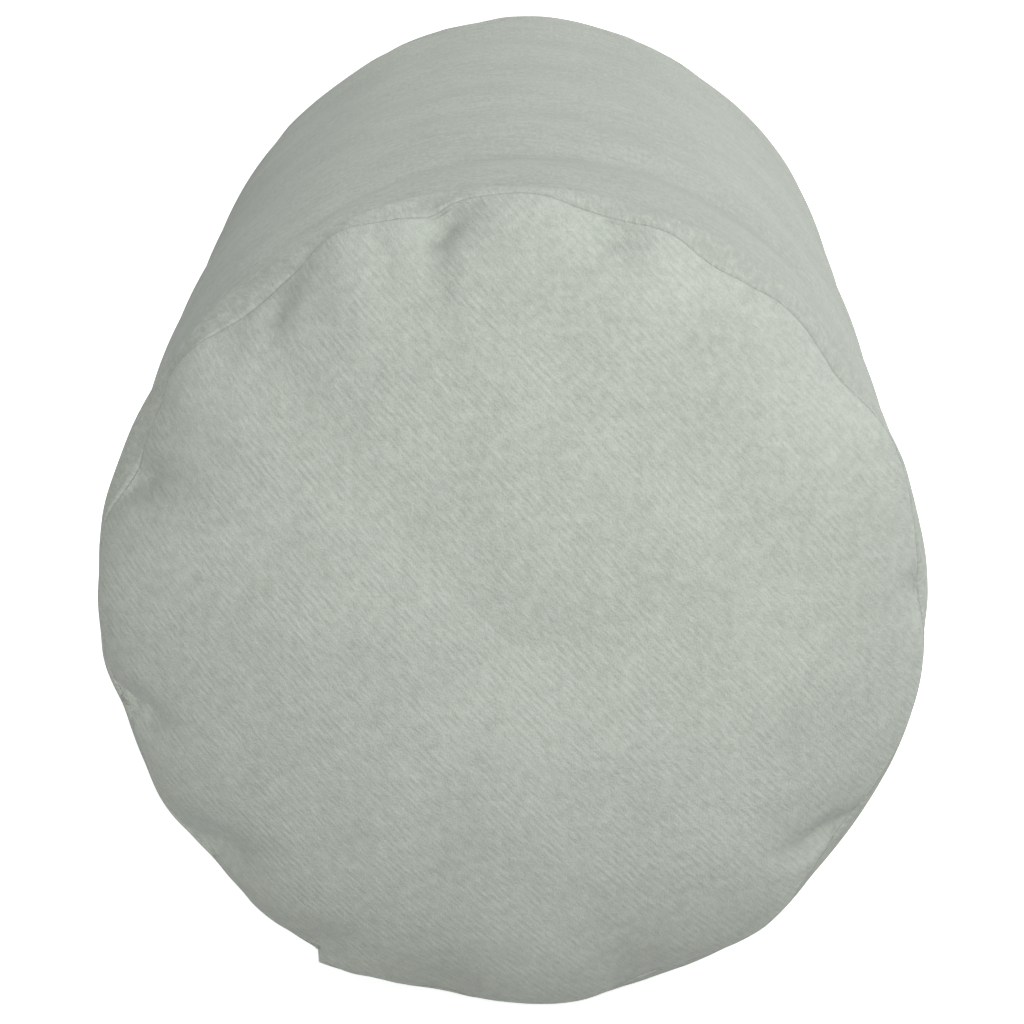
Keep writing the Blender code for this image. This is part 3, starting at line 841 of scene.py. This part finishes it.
def open_cell_foam(wire, place):
    cells = wire.node("ShaderNodeTexVoronoi", {"feature": "F1"}, {"Vector": place, "Scale": 900.0})
    bigger = wire.node("ShaderNodeTexVoronoi", {"feature": "F1"}, {"Vector": place, "Scale": 320.0})
    cloud = place.noise(40.0, 3.0)
    tone = cells * 0.5 + bigger * 0.3 + cloud * 0.3
    colour = wire.mix(tone, tint(0.50, 0.46, 0.34), tint(0.74, 0.70, 0.55))
    finish_material(wire, colour, 0.9 + cells * 0.05, (cells + bigger) * 0.0004,
                    **{"Bump": 0.6})


thread = painted(sewing_thread)
tape = painted(zip_tape)
coil_plastic = painted(zip_coil)
metal = painted(satin_metal)
satin = painted(label_satin)
cotton = painted(liner_cotton)
fluff = painted(wadding)
foam = painted(open_cell_foam)
for node in ("zip_tape_upper", "zip_tape_lower"):
    wear(frame["nodes"][node], tape)
print("four more for the label and the layers inside")

# %% [markdown]
# ## Inside: liner, wadding and foam
# The inner layers follow the cover, each a little deeper, and deeper still at the ends, so no
# dimple of the cover can reach them. They are made from the coarse shell: its ends shrink a
# little, its points move inwards along their normals, and Solidify gives each layer its
# thickness. Under the zip they lie flat, to leave it room.

# %% Layers under the cover
ZIP_ROOM = 95.3 * MM
DIMPLE_ROOM = 5.4 * MM


def inner_layer(number, name, depth, amount, flat_mm=0.0):
    """One panel of the shell, depth below its surface and amount thick."""
    bm = bmesh.new()
    bm.from_mesh(coarse)
    for vert in bm.verts:
        behind = (SEAM_Y - abs(vert.co.y)) / MM
        room = DIMPLE_ROOM * min(max(1 - (behind - 4) / 26, 0), 1)
        shrink = 1 - 0.85 * room / RADIUS  # fading out 30 mm behind the seam
        vert.co.x *= shrink
        vert.co.z = AXIS_Z + (vert.co.z - AXIS_Z) * shrink
        vert.co.y -= math.copysign(0.75 * room, vert.co.y)
    bm.normal_update()
    normals = [vert.normal.copy() for vert in bm.verts]
    for vert, normal in zip(bm.verts, normals):
        vert.co -= normal * depth
    bmesh.ops.smooth_vert(bm, verts=bm.verts, factor=0.5, use_axis_x=True, use_axis_y=True,
                          use_axis_z=True)
    centre = Vector((0, 0, AXIS_Z))
    for vert in bm.verts:
        height = (vert.co - centre).dot(zip_out)
        most = ZIP_ROOM - flat_mm * MM
        if height > most and abs((vert.co - centre).dot(zip_side)) < 32 * MM:
            vert.co -= zip_out * (height - most)
    others = [face for face in bm.faces if face.material_index != number]
    bmesh.ops.delete(bm, geom=others, context="FACES")
    for vert in bm.verts:
        if abs(vert.co.y) < SEAM_Y + 1 * MM and number != TUBE and vert.is_boundary:
            vert.co.y += math.copysign(0.2 * MM, vert.co.y)
    for face in bm.faces:
        face.material_index = 0
    return thick(link_new(bm, name), amount)


LAYERS = (
    ("liner_cotton", cotton, 2.3, 0.5, 0.0, ("liner_end_near", "liner_tube", "liner_end_far")),
    ("wadding", fluff, 3.3, 10.0, 0.8, ("wadding_end_near", "wadding_wrap", "wadding_end_far")),
)
for slot, material, depth, amount, flat_mm, nodes in LAYERS:
    for number, node in enumerate(nodes):
        layer = inner_layer(number, node + "_soft", depth * MM, amount * MM, flat_mm)
        wear(layer, material)
        dress(layer, "pillow", slot, node)

# %% The foam core
foam_low, foam_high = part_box("foam_core")
foam_radius = (foam_high.x - foam_low.x) / 2 - 1.5 * MM
foam_end = min(foam_high.y, SEAM_Y + 1 * MM) - 1.0 * MM
print(f"foam: radius {foam_radius:.4f}, ends at +-{foam_end:.4f}, CAD end {foam_high.y:.4f}")
corner = 9 * MM
outline = [(0.0, -foam_end), (foam_radius * 0.4, -foam_end + 0.2 * MM)]
for step in range(7):
    lean = math.radians(15 * step)
    outline.append((
        foam_radius - corner + math.sin(lean) * corner,
        -foam_end + corner - math.cos(lean) * corner,
    ))
outline += [(foam_radius * (1 - 0.004 * (1 - (y / 0.2) ** 2)), y) for y in np.linspace(-0.18, 0, 8)]
outline += [(radius, -y) for radius, y in outline[-2::-1]]
core = spun(outline, 96, "foam_core_soft")
wear(core, foam)
subdivided(core)
dress(core, "pillow", "foam", "foam_core")

# %% [markdown]
# ## The seam threads
# On the real pillow a lockstitch joins each end to the tube, and only its thread can be seen,
# deep in the seam. A thin ring is spun and laid along the wandering seam, just under the edge.

# %% Thread rings
surface = BVHTree.FromObject(shell, bpy.context.evaluated_depsgraph_get())


def skin_radius(turn, y):
    """How far the cover's outside lies from the axis at this turn (radians) and place."""
    start = Vector((0, y, AXIS_Z))
    away = Vector((math.sin(turn), 0, math.cos(turn)))
    hit = surface.ray_cast(start + away * 0.05, away)
    return (hit[0] - start).length if hit[0] else RADIUS


def thread_ring(name, y, node):
    points = []
    for step in range(6):
        lean = step / 6 * 2 * math.pi
        points.append((RADIUS + math.sin(lean) * 0.28 * MM, y + math.cos(lean) * 0.12 * MM))
    ring = spun(points, 384, name, closed=True)
    co = points_of(ring.data)
    for index, (x, place, z) in enumerate(co):
        turn = math.atan2(x, z - AXIS_Z)
        radius = math.hypot(x, z - AXIS_Z) - RADIUS + skin_radius(turn, y) - 1.1 * MM
        co[index] = (math.sin(turn) * radius, place, AXIS_Z + math.cos(turn) * radius)
    place_points(ring.data, co)
    wear(ring, thread)
    return dress(ring, "pillow", "sewing_thread", node)


thread_ring("seam_thread_near_ring", -SEAM_Y, "seam_thread_near")
thread_ring("seam_thread_far_ring", SEAM_Y, "seam_thread_far")

# %% [markdown]
# ## The zip's facings
# Low on the left, the tube's two long edges are folded back over the zip. The lower one is a
# lap: a double flap 22 mm wide that stands proud and runs right up to the near seam, where its
# squared corner shows. Each facing is a strip whose cross-section is a short path that rises
# from the cover, folds at its edge and goes back down to the tape.

# %% Facings
TAPE_PLANE = 97.5 * MM


def zip_point(across, height, y):
    """A point given across the zip and up from the pillow's axis."""
    return Vector((0, y, AXIS_Z)) + zip_side * across + zip_out * height


def over_skin(across, lift, y):
    """A point lift above the cover, at this distance across the zip."""
    turn = math.radians(ZIP_TURN) + math.asin(across / RADIUS)
    radius = skin_radius(turn, y) + lift
    return Vector((0, y, AXIS_Z)) + Vector((math.sin(turn), 0, math.cos(turn))) * radius


# "skin" points ride on the cover (mm across, mm above it); "zip" points are mm across and up.
# Both end in the same fold, which goes back down to the tape.
FOLDED_EDGE = [
    ("zip", 4.6, 102.35), ("zip", 3.0, 102.4), ("zip", 2.2, 102.3), ("zip", 1.75, 101.95),
    ("zip", 2.2, 101.55), ("zip", 3.4, 101.45), ("zip", 5.3, 101.4), ("zip", 5.8, 100.2),
    ("zip", 6.3, 98.6), ("zip", 7.6, 98.15), ("zip", 9.0, 98.1),
]
UPPER_PATH = [
    ("skin", 13.5, 0.05), ("skin", 12.0, 0.5), ("skin", 10.0, 1.1), ("zip", 8.0, 101.3),
    ("zip", 6.3, 102.1),
] + FOLDED_EDGE
LOWER_PATH = [
    ("skin", 23.0, 0.05), ("skin", 21.5, 0.7), ("skin", 18.5, 1.15), ("skin", 15.5, 1.45),
    ("skin", 12.5, 1.9), ("zip", 9.5, 101.4), ("zip", 7.0, 102.0),
] + FOLDED_EDGE


FACING_FOOT = 98.1  # mm from the axis to where a facing is sewn to the tape
FACING_END = 0.1939
LAP_END = 0.1965


def pressed_flat(y):
    """How much of a facing's height is left here: its ends are sewn down flat."""
    return 1 - 0.5 * min(max((abs(y) - 0.1885) / 0.0045, 0), 1)


def close_end(bm, y, inwards):
    """Shuts a facing's end: its row turns in, a little at first and then nearly to the middle."""
    row = [edge for edge in bm.edges if all(abs(v.co.y - y) < 1e-6 for v in edge.verts)]
    middle = sum((v.co for e in row for v in e.verts), Vector()) / (2 * len(row))
    for share, further in ((0.06, -0.5 * MM), (0.30, -0.3 * MM), (0.93, 0.6 * MM)):
        made = bmesh.ops.extrude_edge_only(bm, edges=row)["geom"]
        verts = [item for item in made if isinstance(item, bmesh.types.BMVert)]
        for vert in verts:
            vert.co = vert.co.lerp(middle, share)
            vert.co.y += further * inwards
        row = [item for item in made if isinstance(item, bmesh.types.BMEdge)]
        row = [edge for edge in row if all(vert in verts for vert in edge.verts)]


def facing(name, path, side, start, end, node):
    """A folded strip along the zip. side is 1 for the upper one and -1 for the lower."""
    steps = 130
    bm = bmesh.new()
    bmesh.ops.create_grid(bm, x_segments=len(path) - 1, y_segments=steps, size=0.5)
    layer = bm.loops.layers.uv.new("cloth")
    for face in bm.faces:
        for loop in face.loops:
            column = loop.vert.co.x + 0.5
            loop[layer].uv = (0.3 + column * 0.04, start + (loop.vert.co.y + 0.5) * (end - start))
    for vert in bm.verts:
        column = round((vert.co.x + 0.5) * (len(path) - 1))
        y = start + (vert.co.y + 0.5) * (end - start)
        kind, across, height = path[column]
        if kind == "zip":
            height = FACING_FOOT + (height - FACING_FOOT) * pressed_flat(y)
        if kind == "skin":
            vert.co = over_skin(side * across * MM, height * MM, y)
        else:
            vert.co = zip_point(side * across * MM, height * MM, y)
    bm.normal_update()
    crest = max(bm.faces, key=lambda face: face.calc_center_median().dot(zip_out))
    if crest.normal.dot(zip_out) < 0:
        bmesh.ops.reverse_faces(bm, faces=bm.faces)
    close_end(bm, start, 1)
    close_end(bm, end, -1)
    strip = link_new(bm, name)
    wear(strip, tube_cloth)
    thick(strip, 0.45 * MM)
    return dress(strip, "pillow", "cover_twill", node)


facing("zip_facing_upper_fold", UPPER_PATH, 1, -FACING_END, FACING_END, "zip_facing_upper")
facing("zip_facing_lower_lap", LOWER_PATH, -1, -LAP_END, FACING_END, "zip_facing_lower")

# %% [markdown]
# ## Coils, stops, slider and pull tab
# Nylon coil is one thread wound round and round, pressed oval: one winding is spun from a
# small ring that travels as it turns, and an array repeats it along the zip. The slider, its
# tab and the stops keep the shape of their solids, merged and with every hard edge rounded,
# since a cast piece has no sharp corner.

# %% The coils
def coil(name, across, node):
    low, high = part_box(node)
    pitch = 1.5 * MM
    turns = int((high.y - low.y - 0.6 * MM) / pitch)
    bm = bmesh.new()
    ring = bmesh.ops.create_circle(bm, cap_ends=False, segments=5, radius=0.22)["verts"]
    bmesh.ops.translate(bm, verts=ring, vec=(0.69, 0, 0))
    bmesh.ops.spin(
        bm, geom=ring + bm.edges[:], cent=(0, 0, 0), axis=(0, 1, 0),
        dvec=(0, pitch / MM / 9, 0), angle=2 * math.pi, steps=9, use_merge=False,
        use_duplicate=False,
    )
    winding = link_new(bm, name + "_winding")
    repeat = winding.modifiers.new("windings", "ARRAY")
    repeat.count = turns
    repeat.use_relative_offset = False
    repeat.use_constant_offset = True
    repeat.constant_offset_displace = (0, pitch / MM, 0)
    repeat.use_merge_vertices = True
    repeat.merge_threshold = 0.01
    wound = winding.evaluated_get(bpy.context.evaluated_depsgraph_get()).data
    bm = bmesh.new()
    bm.from_mesh(wound)
    bpy.data.objects.remove(winding)
    bmesh.ops.holes_fill(bm, edges=bm.edges, sides=5)
    for vert in bm.verts:
        x, y, z = vert.co
        vert.co = zip_point(
            across * MM + x * 1.08 * MM, TAPE_PLANE + 1.38 * MM + z * 0.84 * MM,
            low.y + 0.3 * MM + y * MM,
        )
    bmesh.ops.recalc_face_normals(bm, faces=bm.faces)
    made = link_new(bm, name)
    wear(made, coil_plastic)
    return dress(made, "pillow", "zip_coil", node)


coil("zip_coil_upper_wound", 1.7, "zip_coil_upper")
coil("zip_coil_lower_wound", -1.7, "zip_coil_lower")


# %% Cast metal pieces
HARD_ANGLE = 0.5  # radians between two faces, past which their edge is rounded


def rounded_copy(node, name, width):
    """The CAD node's shape with its triangles merged and its hard edges rounded."""
    bm = bmesh.new()
    bm.from_mesh(frame["nodes"][node].data)
    bmesh.ops.remove_doubles(bm, verts=bm.verts, dist=0.004 * MM)
    bmesh.ops.dissolve_limit(
        bm, angle_limit=math.radians(1), verts=bm.verts, edges=bm.edges, delimit={"NORMAL"}
    )
    hard = [edge for edge in bm.edges if edge.is_manifold and edge.calc_face_angle(0) > HARD_ANGLE]
    bmesh.ops.bevel(
        bm, geom=hard, offset=width, offset_type="OFFSET", segments=2, profile=0.5,
        affect="EDGES", material=-1, clamp_overlap=True,
    )
    bmesh.ops.triangulate(bm, faces=[face for face in bm.faces if len(face.verts) > 4])
    made = link_new(bm, name)
    wear(made, metal)
    return made


for node, body, width in (
    ("zip_slider", "slider", 0.18), ("zip_pull_tab", "pull_tab", 0.16),
    ("zip_top_stop_upper", "pillow", 0.15), ("zip_top_stop_lower", "pillow", 0.15),
    ("zip_bottom_stop", "pillow", 0.15),
):
    dress(rounded_copy(node, node + "_cast", width * MM), body, "zip_metal", node)

# %% [markdown]
# ## The blank care label and the topstitching
# The label is a strip of white satin sewn inside the cover, with nothing printed on it. The
# topstitches are small oval stitches, all alike, in a straight row along each facing.

# %% Label and stitches
label_low, label_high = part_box("care_label")
bm = bmesh.new()
bmesh.ops.create_grid(bm, x_segments=20, y_segments=16, size=0.5)
label_start = math.radians(121)
label_turn = math.radians(28)
for vert in bm.verts:
    turn = label_start + (vert.co.x + 0.5) * label_turn
    y = label_low.y + (vert.co.y + 0.5) * (label_high.y - label_low.y)
    radius = skin_radius(turn, y) - 1.45 * MM
    vert.co = Vector((math.sin(turn) * radius, y, AXIS_Z + math.cos(turn) * radius))
bmesh.ops.recalc_face_normals(bm, faces=bm.faces)
label = link_new(bm, "care_label_blank")
wear(label, satin)
thick(label, 0.25 * MM, 0.0)
dress(label, "pillow", "label_satin", "care_label")


def stitch_row(name, across, start, end, pitch=3.2 * MM):
    """Oval stitches along the zip, sunk by half into the cloth they hold."""
    bm = bmesh.new()
    count = int((end - start) / pitch)
    top = BVHTree.FromObject(
        bpy.data.objects["zip_facing_upper_fold" if across > 0 else "zip_facing_lower_lap"],
        bpy.context.evaluated_depsgraph_get(),
    )
    upright = Matrix((zip_side, (0, 1, 0), zip_out)).transposed().to_4x4()
    sized = Matrix.Diagonal((0.26 * MM, 1.25 * MM, 0.22 * MM, 1.0))
    for number in range(count):
        y = start + (number + 0.5) * pitch
        above = zip_point(across * MM, 0.110, y)
        hit = top.ray_cast(above, -zip_out)
        if hit[0] is None:
            continue
        made = bmesh.ops.create_uvsphere(bm, u_segments=6, v_segments=4, radius=1.0)["verts"]
        bmesh.ops.transform(bm, matrix=Matrix.Translation(hit[0]) @ upright @ sized, verts=made)
    bmesh.ops.recalc_face_normals(bm, faces=bm.faces)
    row = link_new(bm, name)
    wear(row, thread)
    return dress(row, "pillow", "sewing_thread")


for name, across in (
    ("topstitches_upper", 7.4), ("topstitches_lower", -7.4), ("topstitches_lap", -19.5),
):
    stitch_row(name, across, -0.191, 0.191)

# %% [markdown]
# ## Camera, floor and light
# The camera looks along the pillow from its near end, a little above it, through a long lens.
# The floor is a plain white sheet that glows a little, so that it stays white under the
# pillow, and it is kept from throwing light back up. A large soft key light stands above and
# to the right, a low wide one in front of the near end, and a weak one above the back, in a
# room that is bright above, dimmer on the left and dark below.

# %% The camera
camera_data = bpy.data.cameras.new("camera")
camera_data.lens = 169.875
camera_data.sensor_width = 36.0
camera_data.clip_end = 50.0
camera = bpy.data.objects.new("camera", camera_data)
bpy.context.scene.collection.objects.link(camera)
camera.location = (0.00756, -1.33662, 0.34975)
camera.rotation_euler = Vector((-0.00684, 0.98004, -0.19868)).to_track_quat("-Z", "Y").to_euler()
bpy.context.scene.camera = camera
print(f"the camera stands {camera.location.length:.2f} m away")

# %% The floor
bm = bmesh.new()
bmesh.ops.create_grid(bm, x_segments=2, y_segments=2, size=6.0)
floor = link_new(bm, "floor")
made, wire = new_material("white_floor")
place = wire.node("ShaderNodeTexCoord", {}, {}, output=3)
faint = place.noise(3.0, 2.0) * 0.02
paper = wire.mix(faint, tint(0.90, 0.90, 0.90), tint(0.86, 0.86, 0.86))
shader = wire.node(
    "ShaderNodeBsdfPrincipled", {},
    {"Base Color": paper, "Roughness": 0.9, "Emission Color": tint(1, 1, 1),
     "Emission Strength": 0.80, "Specular IOR Level": 0.1},
)
wire.node("ShaderNodeOutputMaterial", {}, {"Surface": shader})
wear(floor, made)
floor.visible_diffuse = False
print("the floor is", floor.name)

# %% The light
def soft_light(name, place, aim, size, watts):
    data = bpy.data.lights.new(name, "AREA")
    data.shape = "RECTANGLE"
    data.size = size[0]
    data.size_y = size[1]
    data.energy = watts
    lamp = bpy.data.objects.new(name, data)
    lamp.location = place
    lamp.rotation_euler = (Vector(aim) - Vector(place)).to_track_quat("-Z", "Y").to_euler()
    bpy.context.scene.collection.objects.link(lamp)
    return lamp


soft_light("key", (1.3, -0.55, 1.4), (0, 0, 0.1), (1.2, 1.2), 14.2)
soft_light("front", (-0.15, -2.2, 0.27), (0, 0, 0.08), (1.8, 0.46), 27.5)
soft_light("back", (0.7, 1.1, 1.5), (0, 0.1, 0.1), (1.2, 1.2), 9.0)
room = bpy.data.worlds.new("room")
room.use_nodes = True
room.node_tree.nodes.clear()
sky = Wire(room.node_tree)
towards = sky.node("ShaderNodeTexCoord", {}, {}, output=0)
upwards = towards.part(2)
rightwards = towards.part(0)
height = upwards.between(-0.7, 0.0) * 0.62 - upwards.between(0.1, 1.0) * 0.12 + 0.10
level = height * (0.56 + 0.44 * rightwards.between(-0.9, 0.7))
lit = sky.node(
    "ShaderNodeBackground", {},
    {"Color": sky.mix(level, tint(0, 0, 0), tint(1, 1, 1)), "Strength": 1.1},
)
sky.node("ShaderNodeOutputWorld", {}, {"Surface": lit})
bpy.context.scene.world = room
bpy.context.scene.view_settings.view_transform = "Standard"
print("three soft lights in a white room")

# %% [markdown]
# ## Last: clean up
# The shell was only a pattern for the panels, so it goes.

# %% Finish
bpy.data.objects.remove(shell)
